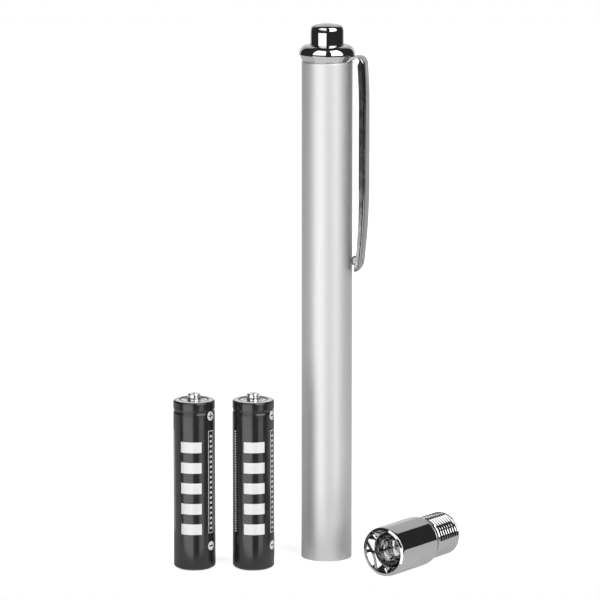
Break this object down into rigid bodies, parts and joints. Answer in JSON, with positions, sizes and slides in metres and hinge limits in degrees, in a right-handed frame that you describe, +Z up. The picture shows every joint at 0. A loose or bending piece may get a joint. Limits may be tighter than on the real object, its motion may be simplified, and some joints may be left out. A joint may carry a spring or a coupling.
{
  "type": "penlight",
  "caption": "Push-button penlight with a pocket clip, taken apart: tube with tail cap and button, screw-in head with its bulb, and two dry cells.",
  "frame": {"origin": "centre of the barrel's open mouth, on the surface that the barrel stands on", "axes": "+Z up the barrel towards the button; +X towards the head and the clip, -X towards the cells"},
  "size_m": [0.0715, 0.0317, 0.1352],
  "materials": {
    "anodised_barrel": "satin anodised",
    "bright_chrome": "polished chrome plate",
    "clip_steel": "bright plated spring steel",
    "black_plastic": "moulded",
    "white_plastic": "moulded",
    "contact_brass": "stamped",
    "spring_steel": "drawn wire",
    "reflector_mirror": "metallised bowl",
    "bulb_glass": "clear",
    "nickel_base": "nickel plated",
    "black_glass": "glass bead",
    "solder": "dull solder",
    "tungsten": "drawn wire",
    "cell_jacket": "shrink film",
    "zinc_can": "drawn zinc",
    "carbon_mix": "pressed powder",
    "tinned_steel": "tin plated"
  },
  "bodies": {
    "barrel": {"barrel": "anodised_barrel", "tail_cap": "bright_chrome", "clip_tongue": "clip_steel", "switch_housing": "white_plastic", "centre_contact": "contact_brass", "side_contact": "contact_brass", "tail_spring": "spring_steel", "return_spring": "spring_steel"},
    "button": {"push_button": "bright_chrome", "plunger": "black_plastic", "contact_bridge": "contact_brass"},
    "clip": {"clip_arm": "clip_steel"},
    "head": {"head_shell": "bright_chrome", "reflector": "reflector_mirror"},
    "bulb": {"bulb_glass": "bulb_glass", "bulb_base": "nickel_base", "bulb_bead": "black_glass", "bulb_tip": "solder", "filament_mount": "nickel_base", "filament": "tungsten"},
    "cell_a": {"cell_a_jacket": "cell_jacket", "cell_a_can": "zinc_can", "cell_a_mix": "carbon_mix", "cell_a_rod": "carbon_mix", "cell_a_seal": "white_plastic", "cell_a_cap": "tinned_steel", "cell_a_foot": "tinned_steel"},
    "cell_b": {"cell_b_jacket": "cell_jacket", "cell_b_can": "zinc_can", "cell_b_mix": "carbon_mix", "cell_b_rod": "carbon_mix", "cell_b_seal": "white_plastic", "cell_b_cap": "tinned_steel", "cell_b_foot": "tinned_steel"}
  },
  "joints": [
    {"name": "button_press", "type": "slide", "parent": "barrel", "child": "button", "axis": [0, 0, -1], "range_m": [0, 0.002], "stiffness_N_per_m": 600, "springref_m": -0.002, "deforming": ["return_spring"]},
    {"name": "clip_flex", "type": "hinge", "parent": "barrel", "child": "clip", "pos_m": [0.00774, -0.00237, 0.1254], "axis": [-0.2924, -0.9563, 0], "range_deg": [0, 3], "stiffness_Nm_per_rad": 1.5, "springref_deg": -1.15},
    {"name": "head_lift", "type": "slide", "parent": "barrel", "child": "head", "axis": [0, 0, 1], "range_m": [0, 0.14]},
    {"name": "bulb_out", "type": "slide", "parent": "head", "child": "bulb", "axis": [0.6018, 0.7986, 0], "range_m": [0, 0.024]},
    {"name": "cell_a_lift", "type": "slide", "parent": "barrel", "child": "cell_a", "axis": [0, 0, 1], "range_m": [0, 0.14]},
    {"name": "cell_b_lift", "type": "slide", "parent": "barrel", "child": "cell_b", "axis": [0, 0, 1], "range_m": [0, 0.14]}
  ]
}
